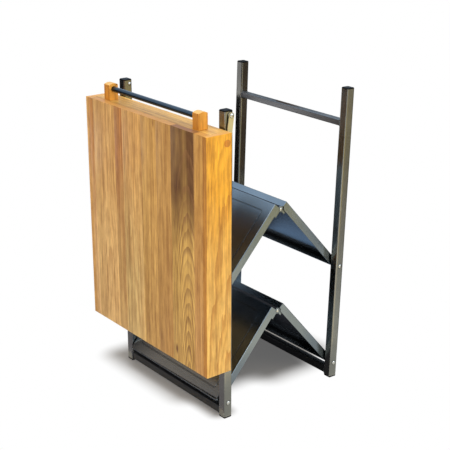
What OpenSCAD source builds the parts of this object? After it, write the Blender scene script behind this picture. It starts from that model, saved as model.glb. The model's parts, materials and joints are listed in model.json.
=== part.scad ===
// Folding utility table: two steel side frames, two folding steel shelves
// and a wooden top that hangs on swing arms beside the left frame.
// Millimetres. X runs from the left frame to the right frame, Y from front
// to back, Z up. The origin is on the floor, at the middle of the table's
// footprint. The table is drawn half folded, with its top hung up.

/* [Frames] */
// Height of the legs, feet and caps included
leg_height = 820; // [700:1:900]
// Width of the square leg tube
leg_w = 25; // [22:0.5:30]
// Corner radius of the leg tube
leg_r = 4; // [2:0.5:6]
// Wall of the leg tube
leg_wall = 1.5; // [1:0.1:2.5]
// Depth of a side frame, over both legs
frame_depth = 455; // [400:1:520]
// Height of the top rail's section
top_rail_h = 16; // [10:0.5:22]
// Depth of the top rail's section
top_rail_d = 21; // [12:0.5:22]
// Drop from the leg tops to the top rail's upper face
top_rail_drop = 87; // [70:1:140]
// Side of the bottom rail's square section
bottom_rail_w = 21; // [14:0.5:22]
// Height of the bottom rail above the floor
bottom_rail_z = 7; // [5:0.5:8]
// Wall of the rails
rail_wall = 1.5; // [1:0.1:2.5]
// Corner radius of the rails
rail_r = 2; // [1:0.5:3]

/* [Caps and feet] */
// Height of a leg cap above its tube
cap_h = 3; // [2:0.5:5]
// Height of the rounded rim of a cap
cap_rim = 1.5; // [0.5:0.1:1.8]
// Depth of the plug below a cap
cap_plug = 5; // [3:0.5:6]
// Height of a foot below its tube
foot_h = 5; // [4:0.5:8]
// Radius of a foot's rounded lower edge
foot_r = 3; // [1:0.5:3.5]
// Depth of the plug above a foot
foot_plug = 12; // [8:1:16]

/* [Fold] */
// Lean of the right frame, as it stands half folded
lean = 1.8; // [0:0.1:3]
// Span between the frames' upper pivots, as it stands half folded
upper_span = 383.4; // [360:0.1:440]
// Height of the upper shelf's outer pivots
upper_pivot_z = 332; // [300:1:380]
// Height of the lower shelf's outer pivots
lower_pivot_z = 44.5; // [44:0.5:60]

/* [Shelves] */
// Distance between a half shelf's two pivots
half_pivots = 274; // [260:1:290]
// Depth of the outer pivot below the shelf's face
outer_pivot_drop = 14; // [12:0.5:15]
// Depth of the middle pivot below the shelf's face
middle_pivot_drop = 26; // [24:0.5:30]
// Height of a shelf's side flange
flange_h = 21; // [19:0.5:22]
// Sheet thickness of the shelves
sheet = 1.5; // [1:0.1:1.8]
// Length of a half shelf beyond its outer pivot
shelf_over = 12; // [10:0.5:12]
// Corner radius at the outer end of a half shelf
shelf_corner = 8; // [4:0.5:10]
// Gap between the two end flanges of an opened shelf
butt_gap = 0.5; // [0.3:0.1:1]
// Distance of the pressed bead from the edges
bead_inset = 26; // [18:1:40]
// Width of the pressed bead
bead_w = 3.5; // [2:0.5:6]
// Depth of the pressed bead
bead_d = 0.8; // [0.3:0.1:0.8]
// Corner radius of the pressed bead
bead_r = 8; // [5:0.5:12]
// Depth of a half shelf's end flange at the middle
end_flange_in = 18; // [14:0.5:18]
// Depth of a half shelf's end flange at the legs
end_flange_out = 17; // [14:0.5:18]
// Radius of the rounded hinge ear
ear_r = 8; // [7.5:0.5:9]
// Length of the hinge ear along the flange
ear_l = 26; // [20:1:34]
// Gap round the hinge ear
ear_gap = 3; // [1:0.1:3.5]
// Thickness of a hinge tab
tab_t = 2; // [1.5:0.1:3]
// Radius of a hinge tab's round end
tab_r = 7; // [6:0.5:7]
// Length of a hinge tab from its pivot
tab_l = 34; // [30:1:45]
// Height of a hinge tab's welded foot
tab_foot_h = 13; // [10:0.5:14]
// Length of a hinge tab's neck from its pivot
tab_neck_l = 20; // [16:1:24]
// Height of a hinge tab's neck
tab_neck_h = 8; // [7:0.5:9]

/* [Rivets] */
// Diameter of the pivot rivets
rivet_d = 6; // [5:0.5:6]
// Diameter of a rivet's domed head
head_d = 11; // [9:0.5:12]
// Height of a rivet's domed head
head_h = 2.6; // [1.5:0.1:3]
// Diameter of a rivet's formed end
tail_d = 9; // [8:0.5:10]
// Height of a rivet's formed end
tail_h = 1.8; // [1:0.1:2]
// Radial running clearance of a pivot
fit = 0.08; // [0.03:0.01:0.1]
// Gap between a shelf's flange and the legs
shelf_gap = 2.5; // [2:0.1:4]
// Diameter of the washers
washer_d = 14; // [12:0.5:16]
// Diameter of the collar of an end stud
stud_d = 10; // [9:0.5:12]
// Clearance on each side of a moving part
slack = 0.3; // [0.3:0.05:0.4]

/* [Wooden top] */
// Length of the top
top_length = 618; // [610:1:680]
// Thickness of the top, skirt included
top_t = 76; // [70:0.5:90]
// Overhang of the top beyond the frame, front and back
top_over = 36; // [34:0.5:50]
// Thickness of the glued board
board_t = 20; // [16:0.5:26]
// Thickness of the side skirts
side_t = 15; // [12:0.5:15.5]
// Thickness of the end skirts
end_t = 16; // [12:0.5:16]
// Radius of the outer long edges
edge_r = 2.5; // [1:0.5:6]
// Drop from the leg tops to the hung top's upper end
hang_drop = 43; // [30:1:80]
// Gap between the hung top and the legs
hang_gap = 6; // [4:0.5:14]
// Widths of the board's staves, from front to back, in shares of the whole
stave_shares = [35, 92, 63, 65, 85, 35, 101, 18]; // [10:1:110]
// Diameter of the wood plugs in the side skirts, at the towel end
plug_d = 18; // [10:0.5:22]
// Height of a wood plug above the skirt
plug_h = 0.8; // [0.4:0.1:1.5]
// Distance of a wood plug from the end of the top
plug_end = 24; // [19:1:33]
// Distance of a wood plug from the skirt's open edge
plug_edge = 14; // [12:1:25]
// Depth of a wood plug's hole
plug_depth = 6; // [4:0.5:8]
// Length of the corner blocks
block_l = 20; // [14:1:26]
// Thickness of the corner blocks
block_t = 12; // [8:0.5:12]
// Diameter of the wood screws
screw_d = 4; // [3:0.5:5]
// Diameter of the wood screws' heads
screw_head_d = 8; // [6:0.5:10]
// Length of a wood screw below its head
screw_l = 20; // [16:1:21]
// Height of the wood screws' heads
screw_head_h = 2; // [1.5:0.1:2.5]

/* [Towel bar] */
// Diameter of the towel bar
bar_d = 14; // [10:0.5:16]
// Height of the bar's centre above the end of the top
bar_h = 29; // [20:0.5:30]
// Width of a post, along the bar
post_w = 25; // [18:0.5:35]
// Depth of a post, across the bar
post_d = 27; // [24:0.5:40]
// Height of a post
post_h = 44; // [40:0.5:60]
// Rise of a post's arched top
post_rise = 4; // [2:0.5:8]
// Distance of a post from the long edge of the top
post_inset = 58; // [40:1:90]
// Distance of a post from the show face
post_back = 22; // [20:0.5:40]
// Depth of the bar's seat in a post
bar_seat = 14; // [8:0.5:16]
// Distance between a post's two screws
post_screw_gap = 14; // [11:0.5:16]
// Depth of a post's screws in the post
post_bite = 12; // [8:0.5:16]

/* [Swing arms] */
// Drop from the leg tops to the arm pivots
arm_drop = 12; // [11.5:0.5:14]
// Set of the arm pivots from the legs' middle, towards the right frame
arm_x = 4.5; // [3:0.5:5]
// Set of the top's pivots from the legs' middle, hung up
pin_set = 38; // [37:0.5:42]
// Gap between the caps and the top in use
rest_gap = 0.6; // [0.5:0.1:1]
// Width of an arm
arm_w = 15; // [13:0.5:16]
// Thickness of an arm
arm_t = 3; // [2:0.1:3]
// Thickness of the washer behind an arm
arm_washer = 1.5; // [1:0.1:1.6]
// Diameter of the washer behind an arm
arm_washer_d = 14; // [12:0.5:15]
// Height of an arm rivet's domed head
arm_head_h = 2; // [1:0.1:2]

/* [Pivot plates] */
// Length of a pivot plate, along the skirt
plate_l = 60; // [50:1:90]
// Width of a pivot plate
plate_w = 34; // [30:1:38]
// Thickness of a pivot plate
plate_t = 3; // [2:0.1:4]
// Diameter of a pivot stud's collar
collar_d = 14; // [12:0.5:16]
// Height of a pivot stud's flat head
stud_head_h = 1.2; // [0.8:0.1:1.2]
// Distance of the plate screws from the plate's edges
plate_screw_edge = 7; // [6:0.5:9]
// Depth of the plate screws in the skirt
screw_bite = 12; // [8:0.5:13]

/* [Hidden] */
$fn = 48;
eps = 0.01;
tube_top = leg_height - cap_h;
half_leg = leg_w / 2;
half_depth = frame_depth / 2;
inner_face = half_depth - leg_w;
leg_y = half_depth - half_leg;

// Fold: the half shelves form isosceles triangles over the two pivot lines.
pivot_rise = middle_pivot_drop - outer_pivot_drop;
half_run = sqrt(pow(half_pivots, 2) - pow(pivot_rise, 2));
face_turn = asin(pivot_rise / half_pivots);
foot_lift = (half_leg - foot_r) * sin(lean) + foot_r * (1 - cos(lean));
right_reach = upper_span - upper_pivot_z * sin(lean) + half_leg * cos(lean)
    + (leg_height - cap_rim) * sin(lean);
left_x = -(right_reach - half_leg - hang_gap - top_t) / 2;
upper_left = [left_x, upper_pivot_z];
lower_left = [left_x, lower_pivot_z];
right_foot = [left_x + upper_span - upper_pivot_z * sin(lean), foot_lift];
upper_right = right_foot + upper_pivot_z * [sin(lean), cos(lean)];
lower_right = right_foot + lower_pivot_z * [sin(lean), cos(lean)];
function apex(p, q) = let (d = q - p, n = [-d[1], d[0]] / norm(d))
    (p + q) / 2 + n * sqrt(pow(half_pivots, 2) - pow(norm(d) / 2, 2));
function rise(p, q) = atan2(q[1] - p[1], abs(q[0] - p[0]));
upper_middle = apex(upper_left, upper_right);
lower_middle = apex(lower_left, lower_right);

// Half shelf, drawn flat with its outer pivot at the origin.
tray_y = inner_face - shelf_gap;
inner_end = half_run - butt_gap / 2;
mid_x = half_run;
mid_z = -pivot_rise;
face_z = outer_pivot_drop;
tab_out = tray_y - sheet - slack;

// Top: hung up, its open side faces the legs.
top_end_z = leg_height - hang_drop;
far_end_z = top_end_z - top_length;
back_x = -half_leg - hang_gap;
show_x = back_x - top_t;
top_half = half_depth + top_over;
skirt_face = top_half - side_t;
board_w = 2 * skirt_face;
plug_z = top_end_z - plug_end;
plug_x = back_x - plug_edge;
post_y0 = top_half - post_inset - post_w;
post_x = show_x + post_back + post_d / 2;
post_screw_xs = [post_x - post_screw_gap / 2, post_x + post_screw_gap / 2];
stave_sum = stave_shares * [for (s = stave_shares) 1];

// Swing arms: from the legs' tops to the pivots of the top, placed so that
// the top hangs beside the frame at one end of the swing and lies on the caps,
// centred over the opened frames, at the other. Distances along X are from
// the left legs, as in every part of the left frame and the top.
arm_z = leg_height - arm_drop;
pin_edge = pin_set + back_x;
use_drop = arm_z - (leg_height + rest_gap - (top_t - board_t) + pin_edge);
swing_back = pin_set + arm_x;
hung_drop = arm_z - top_end_z;
use_end_x = half_run + top_length / 2 - arm_x;
pin_from_end = (pow(use_end_x, 2) + pow(use_drop, 2) - pow(swing_back, 2) - pow(hung_drop, 2))
    / (2 * (use_end_x + hung_drop));
pin_x = -pin_set;
pin_z = top_end_z - pin_from_end;
arm_len = norm([swing_back, hung_drop + pin_from_end]);
arm_turn = atan2(swing_back, hung_drop + pin_from_end);
arm_face = half_depth + arm_washer + slack;
arm_out = arm_face + arm_t;
plate_face = skirt_face - plate_t;
plate_screw_ps = [for (a = [-1, 1], b = [-1, 1])
    [pin_x + a * (plate_w / 2 - plate_screw_edge), pin_z + b * (plate_l / 2 - plate_screw_edge)]];

steel = "#55585a";
dark_steel = "#3a3d42";
bright_steel = "#a9acab";
black_plastic = "#151515";
nylon = "#d8d5cc";

// ---- Shapes ----

// Rectangle with rounded corners, centred.
module round_rect(w, d, r) {
    square([w - 2 * r, d], center = true);
    square([w, d - 2 * r], center = true);
    for (x = [-1, 1], y = [-1, 1])
        translate([x * (w / 2 - r), y * (d / 2 - r)]) circle(r = r);
}

// Round tube section or bar lying along Y, from y0 to y1.
module y_rod(d, y0, y1) {
    translate([0, y0, 0]) rotate([-90, 0, 0]) cylinder(d = d, h = y1 - y0);
}

// Domed rivet head whose flat face is at y, bulging towards +Y.
module y_dome(d, h, y) {
    steps = 6;
    translate([0, y, 0]) rotate([-90, 0, 0]) rotate_extrude()
        polygon([[0, 0], for (i = [0:steps]) let (t = 90 * i / steps) [d / 2 * cos(t), h * sin(t)]]);
}

// Copies its children to the back and mirrors them to the front.
module both_sides() {
    children();
    mirror([0, 1, 0]) children();
}

// Places a part of the left frame or the top, drawn from the left legs.
module at_left_frame() {
    translate([left_x, 0, 0]) children();
}

// Places a part of the right frame from its upright drawing.
module at_right_frame() {
    translate([right_foot[0], 0, right_foot[1]]) rotate([0, lean, 0]) children();
}

// Places children drawn for a left half shelf, outer pivot at the origin.
module at_left_half(p, q) {
    translate([p[0], 0, p[1]]) rotate([0, -rise(p, q) - face_turn, 0]) children();
}

// The same for a right half shelf.
module at_right_half(p, q) {
    translate([p[0], 0, p[1]]) rotate([0, rise(p, q) + face_turn, 0])
        mirror([1, 0, 0]) children();
}

// ---- Side frames ----

// Leg tube, standing at the origin of its section, bored along Y at the
// given places.
module leg(bores) {
    difference() {
        translate([0, 0, foot_h]) linear_extrude(tube_top - foot_h) difference() {
            round_rect(leg_w, leg_w, leg_r);
            round_rect(leg_w - 2 * leg_wall, leg_w - 2 * leg_wall, leg_r - leg_wall);
        }
        for (p = bores)
            translate([p[0], 0, p[1]]) y_rod(rivet_d, -leg_w, leg_w);
    }
}

module left_leg(side) {
    color(steel) at_left_frame() translate([0, side * leg_y, 0])
        leg([[0, lower_pivot_z], [0, upper_pivot_z], [arm_x, arm_z]]);
}
module right_leg(side) {
    color(steel) at_right_frame() translate([0, side * leg_y, 0])
        leg([[0, lower_pivot_z], [0, upper_pivot_z]]);
}
module left_front_leg() { left_leg(-1); }
module left_back_leg() { left_leg(1); }
module right_front_leg() { right_leg(-1); }
module right_back_leg() { right_leg(1); }

// Hollow rail along Y between the legs, its lower face at z.
module rail(d, h, z) {
    translate([0, inner_face, z + h / 2]) rotate([90, 0, 0])
        linear_extrude(2 * inner_face) difference() {
            round_rect(d, h, rail_r);
            square([d - 2 * rail_wall, h - 2 * rail_wall], center = true);
        }
}
module top_rail() { rail(top_rail_d, top_rail_h, leg_height - top_rail_drop - top_rail_h); }
module bottom_rail() { rail(bottom_rail_w, bottom_rail_w, bottom_rail_z); }
module left_top_rail() { color(steel) at_left_frame() top_rail(); }
module left_bottom_rail() { color(steel) at_left_frame() bottom_rail(); }
module right_top_rail() { color(steel) at_right_frame() top_rail(); }
module right_bottom_rail() { color(steel) at_right_frame() bottom_rail(); }

// Cap with a rounded rim and a plug inside the tube.
module cap() {
    bore = leg_w - 2 * leg_wall;
    top_w = leg_w - 2 * cap_rim;
    translate([0, 0, tube_top]) linear_extrude(cap_h - cap_rim) round_rect(leg_w, leg_w, leg_r);
    translate([0, 0, leg_height - cap_rim]) hull() {
        linear_extrude(eps) round_rect(leg_w, leg_w, leg_r, $fn = 32);
        translate([0, 0, cap_rim - eps]) linear_extrude(eps)
            round_rect(top_w, top_w, leg_r - cap_rim / 2, $fn = 32);
    }
    translate([0, 0, tube_top - cap_plug]) linear_extrude(cap_plug)
        round_rect(bore, bore, leg_r - leg_wall);
}

// Foot with a rounded lower edge and a plug inside the tube.
module foot() {
    bore = leg_w - 2 * leg_wall;
    steps = 3;
    for (i = [0:steps - 1]) hull() for (t = [i, i + 1] * 90 / steps) {
        inset = foot_r * (1 - cos(t));
        translate([0, 0, foot_r * (1 - sin(t))]) linear_extrude(eps)
            round_rect(leg_w - 2 * inset, leg_w - 2 * inset, max(leg_r - inset, 1), $fn = 32);
    }
    translate([0, 0, foot_r]) linear_extrude(foot_h - foot_r) round_rect(leg_w, leg_w, leg_r);
    translate([0, 0, foot_h]) linear_extrude(foot_plug)
        round_rect(bore, bore, leg_r - leg_wall);
}
module caps() { for (s = [-1, 1]) translate([0, s * leg_y, 0]) cap(); }
module feet() { for (s = [-1, 1]) translate([0, s * leg_y, 0]) foot(); }
module left_caps() { color(black_plastic) at_left_frame() caps(); }
module left_feet() { color(black_plastic) at_left_frame() feet(); }
module right_caps() { color(black_plastic) at_right_frame() caps(); }
module right_feet() { color(black_plastic) at_right_frame() feet(); }

// ---- Pivots on the legs ----

// Rivet through the back leg and the shelf's flange behind it.
module leg_rivet(z) {
    translate([0, 0, z]) {
        y_dome(head_d, head_h, half_depth);
        y_rod(rivet_d, tray_y - sheet - slack, half_depth);
        mirror([0, 1, 0]) y_dome(tail_d, tail_h, -(tray_y - sheet - slack));
    }
}
// Rivet of the open pivot, which ends flush inside the leg's inner wall.
module short_leg_rivet(z) {
    translate([0, 0, z]) {
        y_dome(head_d, head_h, half_depth);
        y_rod(rivet_d, inner_face, half_depth);
    }
}
module left_upper_rivets() {
    color(bright_steel) at_left_frame() both_sides() leg_rivet(upper_pivot_z);
}
module left_lower_rivets() {
    color(bright_steel) at_left_frame() both_sides() leg_rivet(lower_pivot_z);
}
module right_upper_rivets() {
    color(bright_steel) at_right_frame() both_sides() leg_rivet(upper_pivot_z);
}
module right_lower_rivets() {
    color(bright_steel) at_right_frame() both_sides() short_leg_rivet(lower_pivot_z);
}

// Washer between a leg and a shelf, against the leg.
module washer(z) {
    translate([0, 0, z]) difference() {
        y_rod(washer_d, tray_y + slack, inner_face);
        y_rod(rivet_d, tray_y, inner_face + 1);
    }
}
module left_washers() {
    color(nylon) at_left_frame() both_sides() {
        washer(upper_pivot_z);
        washer(lower_pivot_z);
    }
}
module right_washers() { color(nylon) at_right_frame() both_sides() washer(upper_pivot_z); }

// ---- Shelves ----

// Plan of a half shelf, rounded at its outer end, shrunk by inset.
module tray_plan(inset) {
    r = shelf_corner - inset;
    w = 2 * (tray_y - inset);
    x0 = -shelf_over + inset;
    x1 = inner_end - inset;
    translate([x0 + r, -w / 2]) square([x1 - x0 - r, w]);
    translate([x0, -w / 2 + r]) square([r + eps, w - 2 * r]);
    for (s = [-1, 1]) translate([x0 + r, s * (w / 2 - r)]) circle(r = r);
}

// Pressed bead that frames the shelf's face.
module bead() {
    x0 = -shelf_over + bead_inset;
    x1 = inner_end - bead_inset;
    w = 2 * (tray_y - bead_inset);
    translate([(x0 + x1) / 2, 0, face_z - bead_d]) linear_extrude(bead_d + 1) difference() {
        round_rect(x1 - x0, w, bead_r);
        round_rect(x1 - x0 - 2 * bead_w, w - 2 * bead_w, bead_r - bead_w);
    }
}

// Half shelf, drawn flat with its outer pivot at the origin. The left one
// carries the hinge ears, the right one is cut away round them.
module tray(with_ears) {
    difference() {
        union() {
            translate([0, 0, face_z - flange_h]) linear_extrude(flange_h - sheet)
                difference() {
                    tray_plan(0);
                    tray_plan(sheet);
                }
            translate([0, 0, face_z - sheet]) linear_extrude(sheet) tray_plan(0);
            if (with_ears) both_sides() {
                translate([mid_x, 0, mid_z]) y_rod(2 * ear_r, tray_y - sheet, tray_y);
                translate([mid_x - ear_l, tray_y - sheet, mid_z - 1])
                    cube([ear_l - butt_gap, sheet, pivot_rise]);
            }
        }
        bead();
        // shallower end flanges
        translate([-shelf_over - 1, -tray_y + sheet, face_z - flange_h - 1])
            cube([shelf_corner, 2 * (tray_y - sheet), flange_h - end_flange_out + 1]);
        translate([inner_end - sheet - eps, -tray_y + sheet, face_z - flange_h - 1])
            cube([sheet + 1, 2 * (tray_y - sheet), flange_h - end_flange_in + 1]);
        // clipped lower corner at the leg
        both_sides() translate([-shelf_over - 1, tray_y - shelf_corner - 1, face_z - flange_h - 1])
            cube([shelf_corner + 1, shelf_corner + 2, flange_h - end_flange_out + 1]);
        both_sides() y_rod(rivet_d + 2 * fit, tray_y - sheet - 1, tray_y + 1);
        if (with_ears)
            both_sides() translate([mid_x, 0, mid_z])
                y_rod(rivet_d + 2 * fit, tray_y - sheet - 1, tray_y + 1);
        else
            both_sides() translate([mid_x, 0, mid_z])
                y_rod(2 * (ear_r + ear_gap), tray_y - sheet - eps, tray_y + 1);
    }
}
module upper_left_tray() { color(dark_steel) at_left_half(upper_left, upper_middle) tray(true); }
module upper_right_tray() { color(dark_steel) at_right_half(upper_right, upper_middle) tray(false); }
module lower_left_tray() { color(dark_steel) at_left_half(lower_left, lower_middle) tray(true); }
module lower_right_tray() { color(dark_steel) at_right_half(lower_right, lower_middle) tray(false); }

// Hinge tab welded inside the right half's side flange, drawn like a tray.
module hinge_tab() {
    foot_z = face_z - flange_h;
    translate([mid_x - tab_l, tab_out, foot_z + 3]) cube([tab_neck_l, slack, tab_foot_h - 3]);
    difference() {
        union() {
            translate([mid_x, 0, mid_z]) y_rod(2 * tab_r, tab_out - tab_t, tab_out);
            translate([mid_x - tab_l, tab_out - tab_t, foot_z])
                cube([tab_l - tab_r + 1, tab_t, tab_foot_h]);
            translate([mid_x - tab_neck_l, tab_out - tab_t, foot_z + 1 - tab_neck_h])
                cube([tab_neck_l, tab_t, tab_neck_h]);
        }
        translate([mid_x, 0, mid_z]) y_rod(rivet_d, 0, tray_y);
    }
}
module hinge_tabs(p, q) { color(dark_steel) at_right_half(p, q) both_sides() hinge_tab(); }
module upper_hinge_tabs() { hinge_tabs(upper_right, upper_middle); }
module lower_hinge_tabs() { hinge_tabs(lower_right, lower_middle); }

// Rivets of the middle hinge, fixed in the tabs.
module hinge_rivets(p, q) {
    color(bright_steel) at_right_half(p, q) both_sides() translate([mid_x, 0, mid_z]) {
        y_dome(tail_d, tail_h, tray_y + slack);
        y_rod(rivet_d, tab_out - tab_t, tray_y + slack);
        mirror([0, 1, 0]) y_dome(tail_d, tail_h, -(tab_out - tab_t));
    }
}
module upper_hinge_rivets() { hinge_rivets(upper_right, upper_middle); }
module lower_hinge_rivets() { hinge_rivets(lower_right, lower_middle); }

// Studs in the outer end of the lower right half, which run against the
// inner faces of the right legs.
module lower_end_studs() {
    color(bright_steel) at_right_half(lower_right, lower_middle) both_sides() {
        y_rod(rivet_d + 2 * fit, tray_y - sheet, tray_y);
        y_rod(stud_d, tray_y, inner_face - slack);
        mirror([0, 1, 0]) y_dome(tail_d, tail_h, -(tray_y - sheet));
    }
}

// ---- Wooden top ----

wood = ["#c98f4e", "#7d5233", "#c4894a", "#bd8142", "#cc9553", "#a06a44", "#c58c50", "#b07a4f"];
function share_before(i) = i == 0 ? 0 : stave_shares[i - 1] + share_before(i - 1);
module stave(i) {
    color(wood[i]) at_left_frame()
        translate([show_x, -skirt_face + board_w * share_before(i) / stave_sum, far_end_z])
            cube([board_t, board_w * stave_shares[i] / stave_sum, top_length]);
}
module stave_1() { stave(0); }
module stave_2() { stave(1); }
module stave_3() { stave(2); }
module stave_4() { stave(3); }
module stave_5() { stave(4); }
module stave_6() { stave(5); }
module stave_7() { stave(6); }
module stave_8() { stave(7); }

// Side skirt with its outer edges rounded, at the back.
module skirt() {
    difference() {
        translate([0, 0, far_end_z]) linear_extrude(top_length) {
            translate([show_x, skirt_face]) square([top_t, side_t - edge_r]);
            translate([show_x + edge_r, skirt_face]) square([top_t - 2 * edge_r, side_t]);
            for (x = [show_x + edge_r, back_x - edge_r])
                translate([x, top_half - edge_r]) circle(r = edge_r);
        }
        translate([plug_x, 0, plug_z]) {
            y_rod(plug_d, top_half - plug_depth, top_half + 1);
            y_rod(screw_d, skirt_face - 1, top_half);
        }
        for (p = plate_screw_ps) translate([p[0], 0, p[1]])
            y_rod(screw_d, skirt_face - 1, skirt_face + screw_bite);
    }
}
module back_skirt() { color("#d9973f") at_left_frame() skirt(); }
module front_skirt() { color("#d9973f") at_left_frame() mirror([0, 1, 0]) skirt(); }

// End skirt behind the board, its lower face at z.
module end_skirt(z) {
    translate([show_x + board_t, -skirt_face, z])
        cube([top_t - board_t, board_w, end_t]);
}
module towel_end_skirt() {
    color("#c88a43") at_left_frame() difference() {
        end_skirt(top_end_z - end_t);
        both_sides() for (x = post_screw_xs)
            translate([x, post_y0 + post_w / 2, top_end_z - end_t - 1])
                cylinder(d = screw_d, h = end_t + 2);
    }
}
module far_end_skirt() { color("#c88a43") at_left_frame() end_skirt(far_end_z); }

// Blocks glued into the corners under the board. The pair at the towel end
// is screwed to the side skirts as well.
module corner_blocks() {
    x0 = show_x + board_t;
    color("#b98045") at_left_frame() both_sides() difference() {
        for (z = [far_end_z + end_t, top_end_z - end_t - block_l])
            translate([x0, skirt_face - block_t, z]) cube([back_x - x0, block_t, block_l]);
        translate([plug_x, 0, plug_z])
            y_rod(screw_d, top_half - plug_depth - screw_l, skirt_face + 1);
    }
}

// Pan-head wood screw along Y, its head's flat face at y, pointing to +Y.
module y_screw(y, length) {
    mirror([0, 1, 0]) y_dome(screw_head_d, screw_head_h, -y);
    y_rod(screw_d, y, y + length);
}
module skirt_screws() {
    head_y = top_half - plug_depth;
    color(bright_steel) at_left_frame() both_sides() translate([plug_x, 0, plug_z])
        mirror([0, 1, 0]) y_screw(-head_y, screw_l);
}

// Face plugs over the skirt screws, hollow behind for the screws' heads.
module wood_plugs() {
    color("#b9772f") at_left_frame() both_sides() translate([plug_x, 0, plug_z]) {
        difference() {
            y_rod(plug_d, top_half - plug_depth, top_half);
            y_rod(screw_head_d + 2 * slack, top_half - plug_depth - 1,
                  top_half - plug_depth + screw_head_h + slack);
        }
        y_dome(plug_d, plug_h, top_half);
    }
}

// Post of the towel bar with an arched top, at the back.
module post() {
    arch_r = (pow(post_d / 2, 2) + pow(post_rise, 2)) / (2 * post_rise);
    difference() {
        intersection() {
            translate([post_x - post_d / 2, post_y0, top_end_z]) cube([post_d, post_w, post_h]);
            translate([post_x, 0, top_end_z + post_h - arch_r])
                y_rod(2 * arch_r, post_y0 - 1, post_y0 + post_w + 1);
        }
        translate([post_x, 0, top_end_z + bar_h]) y_rod(bar_d, post_y0 - 1, post_y0 + bar_seat);
        for (x = post_screw_xs) translate([x, post_y0 + post_w / 2, top_end_z - 1])
            cylinder(d = screw_d, h = post_bite + 1);
    }
}
module back_post() { color("#cf8d35") at_left_frame() post(); }
module front_post() { color("#cf8d35") at_left_frame() mirror([0, 1, 0]) post(); }

// Screws up through the end skirt into the posts.
module post_screws() {
    color(bright_steel) at_left_frame() both_sides() for (x = post_screw_xs)
        translate([x, post_y0 + post_w / 2, top_end_z - end_t]) rotate([90, 0, 0])
            y_screw(0, end_t + post_bite);
}
module towel_bar() {
    color(dark_steel) at_left_frame() translate([post_x, 0, top_end_z + bar_h])
        y_rod(bar_d, -post_y0 - bar_seat, post_y0 + bar_seat);
}

// ---- Swing arms ----

// Arm at the back, from its pivot on the leg down to the pivot of the top.
module arm() {
    translate([arm_x, 0, arm_z]) rotate([0, arm_turn, 0]) difference() {
        union() {
            y_rod(arm_w, arm_face, arm_out);
            translate([-arm_w / 2, arm_face, -arm_len]) cube([arm_w, arm_t, arm_len]);
            translate([0, 0, -arm_len]) y_rod(arm_w, arm_face, arm_out);
        }
        for (z = [0, -arm_len]) translate([0, 0, z])
            y_rod(rivet_d + 2 * fit, arm_face - 1, arm_out + 1);
    }
}
module back_arm() { color(steel) at_left_frame() arm(); }
module front_arm() { color(steel) at_left_frame() mirror([0, 1, 0]) arm(); }

module arm_rivets() {
    color(bright_steel) at_left_frame() both_sides() translate([arm_x, 0, arm_z]) {
        y_dome(head_d, arm_head_h, arm_out + slack);
        y_rod(rivet_d, inner_face, arm_out + slack);
        mirror([0, 1, 0]) y_dome(tail_d, tail_h, -inner_face);
    }
}
module arm_washers() {
    color(nylon) at_left_frame() both_sides() translate([arm_x, 0, arm_z]) difference() {
        y_rod(arm_washer_d, half_depth, half_depth + arm_washer);
        y_rod(rivet_d, half_depth - 1, half_depth + arm_washer + 1);
    }
}

// Plates screwed inside the side skirts, which carry the pivots of the top.
module pivot_plates() {
    color(bright_steel) at_left_frame() both_sides() difference() {
        translate([pin_x - plate_w / 2, plate_face, pin_z - plate_l / 2])
            cube([plate_w, plate_t, plate_l]);
        translate([pin_x, 0, pin_z]) y_rod(rivet_d, plate_face - 1, skirt_face + 1);
        for (p = plate_screw_ps) translate([p[0], 0, p[1]])
            y_rod(screw_d, plate_face - 1, skirt_face + 1);
    }
}

// Studs fixed in the plates, with a collar outside the arm and a head inside.
module pivot_studs() {
    color(bright_steel) at_left_frame() both_sides() translate([pin_x, 0, pin_z]) {
        y_rod(rivet_d, arm_face - slack, skirt_face);
        y_rod(collar_d, arm_out + slack, plate_face);
        y_rod(tail_d, arm_face - slack - stud_head_h, arm_face - slack);
    }
}
module plate_screws() {
    color(bright_steel) at_left_frame() both_sides() for (p = plate_screw_ps)
        translate([p[0], 0, p[1]]) y_screw(plate_face, plate_t + screw_bite);
}

left_front_leg();
left_back_leg();
left_top_rail();
left_bottom_rail();
left_caps();
left_feet();
left_upper_rivets();
left_lower_rivets();
left_washers();
arm_rivets();
arm_washers();
right_front_leg();
right_back_leg();
right_top_rail();
right_bottom_rail();
right_caps();
right_feet();
right_upper_rivets();
right_lower_rivets();
right_washers();
upper_left_tray();
upper_right_tray();
lower_left_tray();
lower_right_tray();
upper_hinge_tabs();
lower_hinge_tabs();
upper_hinge_rivets();
lower_hinge_rivets();
lower_end_studs();
front_arm();
back_arm();
pivot_plates();
pivot_studs();
plate_screws();
front_skirt();
back_skirt();
towel_end_skirt();
far_end_skirt();
corner_blocks();
skirt_screws();
wood_plugs();
front_post();
back_post();
post_screws();
towel_bar();
stave_1();
stave_2();
stave_3();
stave_4();
stave_5();
stave_6();
stave_7();
stave_8();
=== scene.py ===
import json
import math
import bpy
import bmesh
from mathutils import Matrix, Vector


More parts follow.
